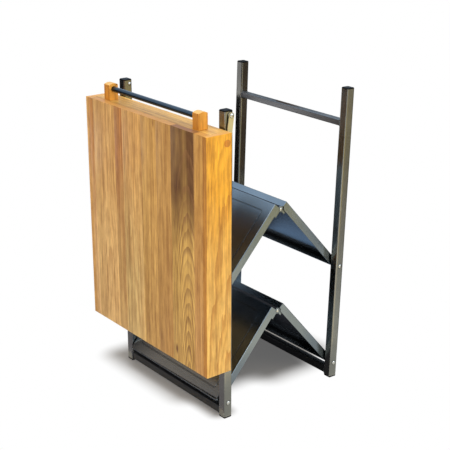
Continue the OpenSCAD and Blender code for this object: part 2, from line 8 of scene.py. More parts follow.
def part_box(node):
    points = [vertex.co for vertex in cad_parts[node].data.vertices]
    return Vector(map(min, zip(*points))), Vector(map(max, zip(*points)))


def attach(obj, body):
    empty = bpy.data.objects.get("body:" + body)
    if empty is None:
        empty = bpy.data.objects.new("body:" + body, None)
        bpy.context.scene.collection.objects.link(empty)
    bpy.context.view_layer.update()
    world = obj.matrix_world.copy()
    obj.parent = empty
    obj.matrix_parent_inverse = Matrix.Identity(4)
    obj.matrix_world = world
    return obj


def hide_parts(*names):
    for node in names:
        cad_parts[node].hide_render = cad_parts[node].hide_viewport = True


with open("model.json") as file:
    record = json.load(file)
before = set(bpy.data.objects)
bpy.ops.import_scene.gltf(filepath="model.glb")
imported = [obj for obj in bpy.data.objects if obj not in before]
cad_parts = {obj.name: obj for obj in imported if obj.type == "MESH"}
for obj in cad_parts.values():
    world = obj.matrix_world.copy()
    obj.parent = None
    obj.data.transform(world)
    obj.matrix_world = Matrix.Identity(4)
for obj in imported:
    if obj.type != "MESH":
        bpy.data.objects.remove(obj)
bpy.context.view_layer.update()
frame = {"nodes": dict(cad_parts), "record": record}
nodes = frame["nodes"]
print("frame loaded:", len(nodes), "nodes")

mm = 0.001  # what is multiplied by mm is in millimetres, and the rest in metres


def hexColour(code):
    # sRGB hex to the linear colour that the nodes want
    channels = [int(code[i:i + 2], 16) / 255 for i in (1, 3, 5)]
    linear = [c / 12.92 if c <= 0.04045 else ((c + 0.055) / 1.055) ** 2.4 for c in channels]
    return (*linear, 1.0)


def addNode(tree, kind, settings=None, inputs=None):
    node = tree.nodes.new(kind)
    for key, value in (settings or {}).items():
        setattr(node, key, value)
    for key, value in (inputs or {}).items():
        if isinstance(value, bpy.types.NodeSocket):
            tree.links.new(value, node.inputs[key])
        else:
            node.inputs[key].default_value = value
    return node


def newMaterial(name):
    # an empty material with its main shader joined to its output
    material = bpy.data.materials.new(name)
    material.use_nodes = True
    tree = material.node_tree
    tree.nodes.clear()
    shader = addNode(tree, "ShaderNodeBsdfPrincipled")
    addNode(tree, "ShaderNodeOutputMaterial", inputs={"Surface": shader.outputs[0]})
    return material, tree, shader


def showInstead(tree, surface):
    # joins another shader to a material's output
    output = next(node for node in tree.nodes if node.type == "OUTPUT_MATERIAL")
    tree.links.new(surface, output.inputs["Surface"])


def setRamp(node, stops):
    # stops are (place, hex) pairs, from low to high
    ramp = node.color_ramp
    while len(ramp.elements) < len(stops):
        ramp.elements.new(0.5)
    for element, (place, code) in zip(ramp.elements, stops):
        element.position = place
        element.color = hexColour(code)


def wear(material, *names):
    # puts one material on CAD nodes whose shape stays
    for name in names:
        mesh = nodes[name].data
        mesh.materials.clear()
        mesh.materials.append(material)


def newObject(name, mesh):
    made = bpy.data.objects.new(name, mesh)
    bpy.context.scene.collection.objects.link(made)
    return made


def bodyOf(node):
    bodies = frame["record"]["behaviour"]["bodies"]
    return next(body for body, members in bodies.items() if node in members)


def standFor(piece, node):
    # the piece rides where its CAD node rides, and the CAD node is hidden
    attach(piece, bodyOf(node))
    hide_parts(node)


copySizes = {"join": 0.002, "flatAngle": 0.4}  # mm, degrees


def solidCopy(node, name, material):
    # a CAD node's own shape as a clean mesh, with its flat faces whole again
    mesh = nodes[node].data.copy()
    mesh.name = name
    shape = bmesh.new()
    shape.from_mesh(mesh)
    bmesh.ops.remove_doubles(shape, verts=shape.verts, dist=copySizes["join"] * mm)
    flat = math.radians(copySizes["flatAngle"])
    bmesh.ops.dissolve_limit(shape, angle_limit=flat, verts=shape.verts, edges=shape.edges)
    for face in shape.faces:
        face.smooth = True
    shape.to_mesh(mesh)
    shape.free()
    if mesh.attributes.get("custom_normal"):
        mesh.attributes.remove(mesh.attributes["custom_normal"])
    mesh.materials.clear()
    mesh.materials.append(material)
    return newObject(name, mesh)


def soften(piece, width, segments=2, byWeight=False, angle=35):
    # rounds a piece's edges, by this many mm, and keeps its flat faces flat
    bevel = piece.modifiers.new("softened edges", "BEVEL")
    bevel.width = width * mm
    bevel.segments = segments
    bevel.limit_method = "WEIGHT" if byWeight else "ANGLE"
    bevel.angle_limit = math.radians(angle)
    bevel.use_clamp_overlap = False
    bevel.harden_normals = True


# place in metres, angles in degrees, lens and sensor in millimetres
cameraView = {
    "place": (-1.728, -2.2188, 1.4393),
    "azimuth": 38.8,
    "elevation": 20.69,
    "roll": 0.37,
    "lens": 88.28,
    "sensor": 36,
    "shift": (-0.0302, 0.0451),
}


def makeCamera():
    data = bpy.data.cameras.new("camera")
    data.sensor_width = cameraView["sensor"]
    data.lens = cameraView["lens"]
    data.shift_x, data.shift_y = cameraView["shift"]
    camera = newObject("camera", data)
    azimuth = math.radians(cameraView["azimuth"])
    elevation = math.radians(cameraView["elevation"])
    turn = Matrix.Rotation(-azimuth, 4, "Z") @ Matrix.Rotation(math.pi / 2 - elevation, 4, "X")
    roll = Matrix.Rotation(math.radians(cameraView["roll"]), 4, "Z")
    camera.matrix_world = Matrix.Translation(cameraView["place"]) @ turn @ roll
    bpy.context.scene.camera = camera


makeCamera()
print("camera placed")


# what all the metals share; scales count the waves in a metre, so clouds
# are about 110 mm wide, and draw lines 1.1 mm apart and 70 mm long
metalPattern = {
    "cloudScale": 9.0, "cloudEdges": (0.35, 0.65), "drawScale": (900, 900, 14),
    "drawDepth": 0.03, "drawStrength": 0.12, "glossRange": (-0.04, 0.06),
    # the painted shade in creases: the occlusion range it spans and its darkest tone
    "creaseShadeRange": (0.72, 0.98), "creaseShadeTone": 0.04,
}


def platedSteel(name, tint, shade, rough, creaseShadeReach=4.0):
    # plating over drawn tube or pressed sheet: a slightly clouded mirror with a faint lengthwise draw,
    # and painted shade that darkens its colour in creases and corners, where another face is within
    # creaseShadeReach mm
    material, tree, shader = newMaterial(name)
    pattern = metalPattern
    point = addNode(tree, "ShaderNodeTexCoord").outputs["Object"]
    cloud = addNode(tree, "ShaderNodeTexNoise", inputs={
        "Vector": point, "Scale": pattern["cloudScale"], "Detail": 3.0})
    tone = addNode(tree, "ShaderNodeValToRGB", inputs={"Fac": cloud.outputs["Fac"]})
    setRamp(tone, list(zip(pattern["cloudEdges"], (shade, tint))))
    # painted shade: ambient occlusion darkens the colour in creases and inside corners
    creaseShadeAO = addNode(tree, "ShaderNodeAmbientOcclusion", {"samples": 8}, {"Distance": creaseShadeReach * mm})
    creaseShadeStart, creaseShadeEnd = pattern["creaseShadeRange"]
    clear = addNode(tree, "ShaderNodeMapRange", inputs={
        "Value": creaseShadeAO.outputs["AO"], "From Min": creaseShadeStart, "From Max": creaseShadeEnd,
        "To Min": pattern["creaseShadeTone"]})
    creaseShaded = addNode(tree, "ShaderNodeVectorMath", {"operation": "SCALE"}, {
        0: tone.outputs[0], "Scale": clear.outputs[0]})
    stretched = addNode(tree, "ShaderNodeMapping", inputs={
        "Vector": point, "Scale": pattern["drawScale"]})
    lines = addNode(tree, "ShaderNodeTexNoise", inputs={
        "Vector": stretched.outputs[0], "Scale": 1.0, "Detail": 2.0})
    smoother, rougher = pattern["glossRange"]
    gloss = addNode(tree, "ShaderNodeMapRange", inputs={
        "Value": cloud.outputs["Fac"], "To Min": rough + smoother, "To Max": rough + rougher})
    relief = addNode(tree, "ShaderNodeBump", inputs={
        "Height": lines.outputs["Fac"], "Strength": pattern["drawStrength"],
        "Distance": pattern["drawDepth"] * mm})
    tree.links.new(creaseShaded.outputs[0], shader.inputs["Base Color"])
    tree.links.new(gloss.outputs[0], shader.inputs["Roughness"])
    tree.links.new(relief.outputs[0], shader.inputs["Normal"])
    shader.inputs["Metallic"].default_value = 1.0
    return material


# black nickel: a dark mirror, duller on the rails than on the tubes, and a
# little bluer on the sheet
frameSteel = platedSteel("black nickel tube", "#929188", "#83827b", 0.2)
railSteel = platedSteel("satin black nickel rail", "#7a7a7a", "#6c6c6c", 0.3)
# the bottom rails: a darker and rougher copy of the rail steel, its darkness painted shade from the
# floor close by
shadedLowRailSteel = platedSteel("black nickel rail darkened as painted shade", "#4e4e4c", "#434341", 0.4)
shelfSteel = platedSteel("black nickel sheet", "#879096", "#7c858b", 0.22)
# the same sheet inside its folds, where the painted shade reaches further from the bends, deep into the
# inside corners
shadedInnerSteel = platedSteel("black nickel sheet with painted shade inside", "#879096", "#7c858b", 0.22, creaseShadeReach=26.0)
# bright, white and yellow plating on the fittings, and blued steel for the bar
rivetSteel = platedSteel("polished steel rivet", "#d8d5cc", "#c6c3ba", 0.2)
zincSteel = platedSteel("zinc plated steel", "#c2c4c4", "#aeb1b3", 0.35)
armSteel = platedSteel("yellow zinc plated arm", "#d8cda4", "#c9bd92", 0.35)
barSteel = platedSteel("blued steel bar", "#48535c", "#3d474f", 0.3)


# grains in a metre, so one is about 0.45 mm wide, and their depth in mm
plasticPattern = {"grainScale": 2200.0, "grainDepth": 0.04, "grainStrength": 0.2}


def mouldedPlastic(name, code, rough, shine):
    # injection moulded plastic: soft sheen over a fine spark-eroded grain
    material, tree, shader = newMaterial(name)
    point = addNode(tree, "ShaderNodeTexCoord").outputs["Object"]
    grain = addNode(tree, "ShaderNodeTexNoise", inputs={
        "Vector": point, "Scale": plasticPattern["grainScale"], "Detail": 2.0})
    relief = addNode(tree, "ShaderNodeBump", inputs={
        "Height": grain.outputs["Fac"], "Strength": plasticPattern["grainStrength"],
        "Distance": plasticPattern["grainDepth"] * mm})
    tree.links.new(relief.outputs[0], shader.inputs["Normal"])
    shader.inputs["Base Color"].default_value = hexColour(code)
    shader.inputs["Specular IOR Level"].default_value = shine
    shader.inputs["Roughness"].default_value = rough
    return material


capPlastic = mouldedPlastic("black polyethylene", "#050505", 0.45, 0.06)
nylonPlastic = mouldedPlastic("natural nylon", "#d9d4c4", 0.4, 0.5)


# what all the pieces of wood share; scales count the waves in a metre across,
# across and along the grain, so streaks are 8 mm wide and fibres 3 mm
woodPattern = {
    "slowSway": (11, 11, 1.8), "quickWobble": (60, 60, 9),
    "palestRing": 0.25, "lateWood": (0.3, 0.92),
    "knotScale": (17, 17, 6), "knotRadii": (0.02, 0.12), "knotChance": 0.72, "knot": "#6b4022",
    "driftScale": (30, 30, 5), "drift": 1.2,
    "streakScale": (120, 120, 3.0), "mottlingScale": (60, 60, 22), "fibreScale": (350, 350, 14),
    "mottling": 0.6, "fibres": 0.6, "figureRange": (0.76, 1.44),
    "darkFigure": (0.5, 0.38, 0.3, 1.0), "paleFigure": (1.5, 1.62, 1.7, 1.0),
    "facing": (0.6, 0.9), "fibreDepth": 0.06, "fibreStrength": 0.15,
    "lacquer": {"Roughness": 0.5, "Specular IOR Level": 0.3, "Coat Weight": 0.08, "Coat Roughness": 0.3},
}
mixing = {"data_type": "RGBA"}
multiplying = {"data_type": "RGBA", "blend_type": "MULTIPLY"}


def stretchedNoise(tree, point, scale, detail, rough=0.5):
    # noise drawn out along the grain
    longer = addNode(tree, "ShaderNodeMapping", inputs={"Vector": point, "Scale": scale})
    noise = addNode(tree, "ShaderNodeTexNoise", inputs={
        "Vector": longer.outputs[0], "Scale": 1.0, "Detail": detail, "Roughness": rough})
    return noise.outputs["Fac"]


def growthRings(tree, point, look):
    # rings round a pith line, bent by slow and quick wobbles, each ring with
    # its own depth of colour: they cut a face in lines, arches or eyes
    pith = addNode(tree, "ShaderNodeMapping", {"vector_type": "TEXTURE"}, {
        "Vector": point, "Location": look["pith"], "Rotation": look["tip"]})
    flattened = addNode(tree, "ShaderNodeVectorMath", {"operation": "MULTIPLY"}, {
        0: pith.outputs[0], 1: (1, 1, 0)})
    radius = addNode(tree, "ShaderNodeVectorMath", {"operation": "LENGTH"}, {0: flattened.outputs[0]})
    years = addNode(tree, "ShaderNodeMath", {"operation": "DIVIDE"}, {
        0: radius.outputs["Value"], 1: look["ring"] * mm})
    slow = addNode(tree, "ShaderNodeMath", {"operation": "MULTIPLY_ADD"}, {
        0: stretchedNoise(tree, point, woodPattern["slowSway"], 2.0), 1: look["sway"],
        2: years.outputs[0]})
    bent = addNode(tree, "ShaderNodeMath", {"operation": "MULTIPLY_ADD"}, {
        0: stretchedNoise(tree, point, woodPattern["quickWobble"], 2.0), 1: look["wobble"],
        2: slow.outputs[0]})
    year = addNode(tree, "ShaderNodeMath", {"operation": "FRACT"}, {0: bent.outputs[0]})
    count = addNode(tree, "ShaderNodeMath", {"operation": "FLOOR"}, {0: bent.outputs[0]})
    chance = addNode(tree, "ShaderNodeTexWhiteNoise", {"noise_dimensions": "1D"}, {
        "W": count.outputs[0]})
    depth = addNode(tree, "ShaderNodeMapRange", inputs={
        "Value": chance.outputs["Value"], "To Min": woodPattern["palestRing"] * look["contrast"],
        "To Max": look["contrast"]})
    lateStart, lateEnd = woodPattern["lateWood"]
    late = addNode(tree, "ShaderNodeMapRange", {"interpolation_type": "SMOOTHSTEP"}, {
        "Value": year.outputs[0], "From Min": lateStart, "From Max": lateEnd})
    part = addNode(tree, "ShaderNodeMath", {"operation": "MULTIPLY"}, {
        0: late.outputs[0], 1: depth.outputs[0]})
    return part.outputs[0]


def pinKnots(tree, point):
    # small dark knots, a few to a metre, longer along the grain
    longer = addNode(tree, "ShaderNodeMapping", inputs={
        "Vector": point, "Scale": woodPattern["knotScale"]})
    cells = addNode(tree, "ShaderNodeTexVoronoi", inputs={"Vector": longer.outputs[0], "Scale": 1.0})
    core, rim = woodPattern["knotRadii"]
    near = addNode(tree, "ShaderNodeMapRange", {"interpolation_type": "SMOOTHSTEP"}, {
        "Value": cells.outputs["Distance"], "From Min": core, "From Max": rim,
        "To Min": 1.0, "To Max": 0.0})
    drawn = addNode(tree, "ShaderNodeSeparateColor", inputs={"Color": cells.outputs["Color"]})
    chosen = addNode(tree, "ShaderNodeMath", {"operation": "GREATER_THAN"}, {
        0: drawn.outputs[0], 1: woodPattern["knotChance"]})
    knot = addNode(tree, "ShaderNodeMath", {"operation": "MULTIPLY"}, {
        0: near.outputs[0], 1: chosen.outputs[0]})
    return knot.outputs[0]


def lacqueredHardwood(name, look):
    # flat-sawn hardwood under satin lacquer: warm tan with brown streaks a few
    # millimetres wide, fine fibres, and browner end grain
    material, tree, shader = newMaterial(name)
    pattern = woodPattern
    given = addNode(tree, "ShaderNodeTexCoord")
    turned = addNode(tree, "ShaderNodeMapping", inputs={
        "Vector": given.outputs["Object"], "Rotation": look["turn"]})
    point = turned.outputs[0]

    # the plank's own colour, from its lower to its upper end
    height = addNode(tree, "ShaderNodeSeparateXYZ", inputs={"Vector": given.outputs["Object"]})
    upper = addNode(tree, "ShaderNodeMapRange", inputs={
        "Value": height.outputs["Z"], "From Min": look["fade"][0], "From Max": look["fade"][1]})
    drift = addNode(tree, "ShaderNodeMath", {"operation": "MULTIPLY_ADD"}, {
        0: stretchedNoise(tree, point, pattern["driftScale"], 3.0), 1: pattern["drift"],
        2: -pattern["drift"] / 2})
    ends = addNode(tree, "ShaderNodeMath", {"operation": "ADD", "use_clamp": True}, {
        0: upper.outputs[0], 1: drift.outputs[0]})
    plank = addNode(tree, "ShaderNodeMix", mixing, {
        0: ends.outputs[0], 6: hexColour(look["low"]), 7: hexColour(look["high"])})
    ringed = addNode(tree, "ShaderNodeMix", mixing, {
        0: growthRings(tree, point, look), 6: plank.outputs[2], 7: hexColour(look["late"])})

    # streaks, mottling and fibres make it redder and darker or paler
    streaks = stretchedNoise(tree, point, pattern["streakScale"], 5.0, 0.6)
    mottling = addNode(tree, "ShaderNodeMath", {"operation": "MULTIPLY_ADD"}, {
        0: stretchedNoise(tree, point, pattern["mottlingScale"], 4.0, 0.65),
        1: pattern["mottling"], 2: streaks})
    fibres = stretchedNoise(tree, point, pattern["fibreScale"], 3.0, 0.6)
    figure = addNode(tree, "ShaderNodeMath", {"operation": "MULTIPLY_ADD"}, {
        0: fibres, 1: pattern["fibres"], 2: mottling.outputs[0]})
    darkest, palest = pattern["figureRange"]
    paleness = addNode(tree, "ShaderNodeMapRange", inputs={
        "Value": figure.outputs[0], "From Min": darkest, "From Max": palest})
    figureTone = addNode(tree, "ShaderNodeMix", mixing, {
        0: paleness.outputs[0], 6: pattern["darkFigure"], 7: pattern["paleFigure"]})
    grained = addNode(tree, "ShaderNodeMix", multiplying, {
        0: look["streaks"], 6: ringed.outputs[2], 7: figureTone.outputs[2]})
    knotted = addNode(tree, "ShaderNodeMix", mixing, {
        0: pinKnots(tree, point), 6: grained.outputs[2], 7: hexColour(pattern["knot"])})

    # end grain on the faces that look up, and painted shade in the edge colour on the faces that look
    # toward -X, the side that gets less light
    facing = addNode(tree, "ShaderNodeSeparateXYZ", inputs={"Vector": given.outputs["Normal"]})
    aside, square = pattern["facing"]
    sawn = addNode(tree, "ShaderNodeMapRange", inputs={
        "Value": facing.outputs["Z"], "From Min": aside, "From Max": square,
        "To Max": look["endPart"]})
    ended = addNode(tree, "ShaderNodeMix", mixing, {
        0: sawn.outputs[0], 6: knotted.outputs[2], 7: hexColour(look["end"])})
    facesLeft = addNode(tree, "ShaderNodeMapRange", inputs={
        "Value": facing.outputs["X"], "From Min": -aside, "From Max": -square})
    leftShadeTone = addNode(tree, "ShaderNodeMix", multiplying, {
        0: 1.0, 6: hexColour(look["edge"]), 7: figureTone.outputs[2]})
    edgePart = addNode(tree, "ShaderNodeMath", {"operation": "MULTIPLY"}, {
        0: facesLeft.outputs[0], 1: look["edgePart"]})
    surface = addNode(tree, "ShaderNodeMix", mixing, {
        0: edgePart.outputs[0], 6: ended.outputs[2], 7: leftShadeTone.outputs[2]})
    relief = addNode(tree, "ShaderNodeBump", inputs={
        "Height": fibres, "Strength": pattern["fibreStrength"],
        "Distance": pattern["fibreDepth"] * mm})
    tree.links.new(surface.outputs[2], shader.inputs["Base Color"])
    tree.links.new(relief.outputs[0], shader.inputs["Normal"])
    for socket, value in pattern["lacquer"].items():
        shader.inputs[socket].default_value = value
    return material


leftX = sum(corner.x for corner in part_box("left_front_leg")) / 2
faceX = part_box("stave_1")[0].x  # the show face of the board


def woodLook(**changes):
    # one plank: its colours low and high, in late wood, at its end, and in painted shade on its faces
    # that look toward -X; ring spacing in mm, pith line in metres, and the strength of the rest
    look = {
        "low": "#c79a5f", "high": "#c6914f", "late": "#9a6a3c", "end": "#c58f4a",
        "ring": 5.0, "contrast": 0.45, "sway": 5.0, "wobble": 1.6, "streaks": 0.9,
        "pith": (leftX + 0.3, 0.0, 0.4), "tip": (0.0, 0.0, 0.0), "turn": (0.0, 0.0, 0.0),
        "fade": (0.35, 0.65), "edge": "#c4914f", "edgePart": 0.0, "endPart": 1.0,
    }
    look.update(changes)
    return look


def pithBehind(y, z, depth):
    # a pith line this deep behind the show face, all in mm
    return (faceX + depth * mm, y * mm, z * mm)


staveLooks = {
    "stave_1": woodLook(low="#ba8a4e", high="#be8e48", late="#94602f", pith=pithBehind(-300, 400, 60)),
    "stave_2": woodLook(low="#c69d54", high="#603f20", late="#7d5632", end="#8f6238", ring=4.4,
                        contrast=0.8, sway=1.4, wobble=0.8, pith=pithBehind(-188, 280, 34),
                        tip=(0.0, 0.11, 0.0), fade=(0.47, 0.63)),
    "stave_3": woodLook(low="#b2864a", high="#b2864a", late="#8a5a30", pith=pithBehind(-90, 300, 90)),
    "stave_4": woodLook(low="#b98f50", high="#bb8f4e", late="#946234", pith=pithBehind(20, 300, 120)),
    "stave_5": woodLook(low="#c4a369", high="#c39455", late="#a06e3c", ring=6.5,
                        pith=pithBehind(60, 500, 70), tip=(0.0, 0.03, 0.0)),
    "stave_6": woodLook(low="#bd975e", high="#aa723d", late="#7e4e2c", pith=pithBehind(200, 300, 40)),
    "stave_7": woodLook(low="#d2aa6f", high="#bf9255", late="#a06c3a", ring=7.0,
                        pith=pithBehind(170, 600, 40), tip=(0.0, 0.07, 0.0)),
    "stave_8": woodLook(low="#d9af78", high="#b07a43", late="#865630", pith=pithBehind(330, 300, 50)),
}
# the skirts and posts take the edge colour as painted shade on their faces that look toward -X
frontWood = lacqueredHardwood("golden hardwood front skirt", woodLook(
    low="#deae5a", high="#eda92c", late="#b06a1c", ring=6.0, contrast=0.6, sway=3.0,
    end="#d29c50", pith=(leftX - 0.02, -0.35, 0.3), tip=(0.06, 0.0, 0.0), edge="#ac7530",
    edgePart=1.0))
backWood = lacqueredHardwood("golden hardwood back skirt", woodLook(
    low="#d39e50", high="#dc9e3e", late="#b06a1c", ring=6.0, streaks=0.8, end="#d29c50",
    pith=(leftX - 0.02, 0.35, 0.3), tip=(0.06, 0.0, 0.0), edge="#bf8f52", edgePart=1.0))
postWood = lacqueredHardwood("golden hardwood post", woodLook(
    low="#dc9a3a", high="#e0a040", late="#a8641f", ring=4.0, streaks=0.7, end="#d9ae68",
    pith=(leftX, -0.4, 0.3), edge="#b87626", edgePart=0.8))
# the end skirts' grain runs across the table, so it is turned
endWood = lacqueredHardwood("hardwood end skirt", woodLook(
    low="#d8ad5c", high="#cd9c4c", late="#96622a", ring=4.0, contrast=0.8, sway=2.0,
    turn=(math.pi / 2, 0.0, 0.0), pith=(leftX + 0.1, -0.9, 0.1), fade=(0.4, 1.2),
    streaks=1.0, endPart=0.0))
plugWood = lacqueredHardwood("hardwood plug", woodLook(
    low="#c88a38", high="#cb8126", late="#9d6428", ring=2.0, pith=(leftX, -0.3, 0.7)))
print("materials made")


def newShapeTree(name, *sizes):
    # a Geometry Nodes tree with these sizes and a finish as its inputs
    tree = bpy.data.node_groups.new(name, "GeometryNodeTree")
    for size in sizes:
        tree.interface.new_socket(size, in_out="INPUT", socket_type="NodeSocketFloat")
    tree.interface.new_socket("Finish", in_out="INPUT", socket_type="NodeSocketMaterial")
    tree.interface.new_socket("Geometry", in_out="OUTPUT", socket_type="NodeSocketGeometry")
    return tree, addNode(tree, "NodeGroupInput")


def endShapeTree(tree, given, shape):
    # the shape made real, with its finish
    real = addNode(tree, "GeometryNodeRealizeInstances", inputs={0: shape.outputs[0]})
    finished = addNode(tree, "GeometryNodeSetMaterial", inputs={
        "Geometry": real.outputs[0], "Material": given.outputs["Finish"]})
    addNode(tree, "NodeGroupOutput", inputs={"Geometry": finished.outputs[0]})


def runTree(tree, name, values):
    # runs a tree once and keeps its result as a plain mesh
    holder = newObject(name + " maker", bpy.data.meshes.new(name + " host"))
    modifier = holder.modifiers.new("maker", "NODES")
    modifier.node_group = tree
    for item in tree.interface.items_tree:
        if item.in_out == "INPUT":
            modifier[item.identifier] = values[item.name]
    depsgraph = bpy.context.evaluated_depsgraph_get()
    mesh = bpy.data.meshes.new_from_object(holder.evaluated_get(depsgraph), depsgraph=depsgraph)
    bpy.data.objects.remove(holder)
    mesh.name = name
    return mesh


# how far the edges of the wood are rounded, in mm
woodEdges = {"staveJoint": 0.4, "staveEnd": 1.0, "skirt": 0.9}


def staveTree():
    # a straight slat with rounded long edges, standing on the origin
    tree, given = newShapeTree("slat", "Width", "Thickness", "Length", "Rounding")
    outline = addNode(tree, "GeometryNodeCurvePrimitiveQuadrilateral", {"mode": "RECTANGLE"}, {
        "Width": given.outputs["Thickness"], "Height": given.outputs["Width"]})
    rounded = addNode(tree, "GeometryNodeFilletCurve", {"mode": "POLY"}, {
        "Curve": outline.outputs[0], "Count": 2, "Radius": given.outputs["Rounding"]})
    farEnd = addNode(tree, "ShaderNodeCombineXYZ", inputs={"Z": given.outputs["Length"]})
    line = addNode(tree, "GeometryNodeCurvePrimitiveLine", inputs={"End": farEnd.outputs[0]})
    slat = addNode(tree, "GeometryNodeCurveToMesh", inputs={
        "Curve": line.outputs[0], "Profile Curve": rounded.outputs[0], "Fill Caps": True})
    endShapeTree(tree, given, slat)
    return tree


def makeStaves():
    tree = staveTree()
    for node, look in staveLooks.items():
        low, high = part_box(node)
        number = node.split("_")[1]
        mesh = runTree(tree, "stave " + number, {
            "Width": high.y - low.y, "Thickness": high.x - low.x, "Length": high.z - low.z,
            "Rounding": woodEdges["staveJoint"] * mm,
            "Finish": lacqueredHardwood("hardwood stave " + number, look)})
        foot = ((low.x + high.x) / 2, (low.y + high.y) / 2, low.z)
        mesh.transform(Matrix.Translation(foot))
        mesh.shade_smooth()
        piece = newObject("stave" + number, mesh)
        soften(piece, woodEdges["staveEnd"], angle=50)
        standFor(piece, node)


def makeSkirts():
    for node, name, material in (
            ("back_skirt", "backSkirt", backWood), ("front_skirt", "frontSkirt", frontWood),
            ("towel_end_skirt", "towelEndSkirt", endWood), ("far_end_skirt", "farEndSkirt", endWood),
            ("front_post", "frontPost", postWood), ("back_post", "backPost", postWood)):
        piece = solidCopy(node, name, material)
        soften(piece, woodEdges["skirt"])
        standFor(piece, node)


makeStaves()
makeSkirts()
wear(plugWood, "wood_plugs", "corner_blocks")
wear(zincSteel, "plate_screws", "skirt_screws", "post_screws", "pivot_plates")
wear(barSteel, "towel_bar")
print("wooden top made")


# in mm, but for the share of a bend's radius that a cut edge gets, and the
# least angle, in degrees, that counts as an edge
shelfSizes = {"bendRadius": 2.0, "bendReach": 5.0, "sheet": 1.4, "faceSlack": 0.05,
              "cutShare": 1 / 6, "leastAngle": 35}


def markBends(mesh):
    # full rounding on the bends of the pressed sheet, and little on its cut edges and the bead; the
    # walls and the underside take the second material, which paints shade deeper into the inside corners
    shape = bmesh.new()
    shape.from_mesh(mesh)
    weights = shape.edges.layers.float.new("bevel_weight_edge")
    broad = max(shape.faces, key=lambda face: face.calc_area())
    normal = broad.normal.copy()
    if normal.z < 0:
        normal.negate()
    level = max(vert.co.dot(normal) for vert in shape.verts)
    centre = sum((vert.co for vert in shape.verts), Vector()) / len(shape.verts)
    for face in shape.faces:
        place = face.calc_center_median()
        depth = level - place.dot(normal)
        upward = face.normal.dot(normal)
        isWall = abs(upward) < 0.2
        isUnderside = upward < -0.9
        looksIn = (centre - place).dot(face.normal) > 0
        if depth > shelfSizes["sheet"] * mm and (isUnderside or isWall and looksIn):
            face.material_index = 1
    for edge in shape.edges:
        sharp = math.radians(shelfSizes["leastAngle"])
        if len(edge.link_faces) != 2 or edge.calc_face_angle() < sharp:
            continue
        slack = shelfSizes["faceSlack"] * mm
        onTop = all(level - vert.co.dot(normal) < slack for vert in edge.verts)
        reach = max(level - vert.co.dot(normal) for face in edge.link_faces for vert in face.verts)
        isBend = onTop and reach > shelfSizes["bendReach"] * mm
        edge[weights] = 1.0 if isBend else shelfSizes["cutShare"]
    shape.to_mesh(mesh)
    shape.free()


def makeShelves():
    for node, name in (("upper_left_tray", "upperLeftTray"), ("upper_right_tray", "upperRightTray"),
                       ("lower_left_tray", "lowerLeftTray"), ("lower_right_tray", "lowerRightTray")):
        piece = solidCopy(node, name, shelfSteel)
        piece.data.materials.append(shadedInnerSteel)
        markBends(piece.data)
        soften(piece, shelfSizes["bendRadius"], segments=3, byWeight=True)
        standFor(piece, node)


makeShelves()
wear(shelfSteel, "upper_hinge_tabs", "lower_hinge_tabs")
print("shelves made")


# radius of a drop of weld, the step from drop to drop, and the corner it turns, in mm
weldSizes = {"Bead": 1.7, "Step": 2.1, "Corner": 2.0}


def weldTree():
    # a run of overlapping drops round a rail's section, as a weld solidifies
    tree, given = newShapeTree("weld", "Width", "Height", *weldSizes)
    outline = addNode(tree, "GeometryNodeCurvePrimitiveQuadrilateral", {"mode": "RECTANGLE"}, {
        "Width": given.outputs["Width"], "Height": given.outputs["Height"]})
    rounded = addNode(tree, "GeometryNodeFilletCurve", {"mode": "POLY"}, {
        "Curve": outline.outputs[0], "Count": 3, "Radius": given.outputs["Corner"]})
    spaced = addNode(tree, "GeometryNodeResampleCurve", {"mode": "LENGTH"}, {
        "Curve": rounded.outputs[0], "Length": given.outputs["Step"]})
    drop = addNode(tree, "GeometryNodeMeshUVSphere", inputs={
        "Segments": 8, "Rings": 5, "Radius": given.outputs["Bead"]})
    run = addNode(tree, "GeometryNodeInstanceOnPoints", inputs={
        "Points": spaced.outputs[0], "Instance": drop.outputs[0]})
    endShapeTree(tree, given, run)
    return tree


def middle(node):
    low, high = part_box(node)
    return (low + high) / 2


def makeWelds():
    # each rail is welded to both legs all round; the right frame leans, so
    # its rails' sections are measured on the left one
    tree = weldTree()
    drops = {name: size * mm for name, size in weldSizes.items()}
    for side in ("left", "right"):
        top, bottom = middle(side + "_top_rail"), middle(side + "_bottom_rail")
        lean = math.atan2(top.x - bottom.x, top.z - bottom.z)
        merged = bmesh.new()
        for rail, place in (("_top_rail", top), ("_bottom_rail", bottom)):
            low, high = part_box("left" + rail)
            run = runTree(tree, "weld run", {
                "Width": high.x - low.x, "Height": high.z - low.z, "Finish": railSteel, **drops})
            for end in (low.y, high.y):
                copy = run.copy()
                upright = Matrix.Rotation(lean, 4, "Y") @ Matrix.Rotation(math.pi / 2, 4, "X")
                copy.transform(Matrix.Translation((place.x, end, place.z)) @ upright)
                merged.from_mesh(copy)
        mesh = bpy.data.meshes.new(side + " welds")
        merged.to_mesh(mesh)
        merged.free()
        mesh.materials.append(railSteel)
        mesh.shade_smooth()
        piece = newObject(side + "Welds", mesh)
        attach(piece, side + "_frame")


makeWelds()
wear(frameSteel, "left_front_leg", "left_back_leg", "right_front_leg", "right_back_leg")
wear(railSteel, "left_top_rail", "right_top_rail")
wear(shadedLowRailSteel, "left_bottom_rail", "right_bottom_rail")
wear(armSteel, "front_arm", "back_arm")
wear(capPlastic, "left_caps", "left_feet", "right_caps", "right_feet")
wear(nylonPlastic, "left_washers", "right_washers", "arm_washers")
wear(rivetSteel, "left_upper_rivets", "left_lower_rivets", "right_upper_rivets",
     "right_lower_rivets", "upper_hinge_rivets", "lower_hinge_rivets", "lower_end_studs",
     "arm_rivets", "pivot_studs")
print("frames made")


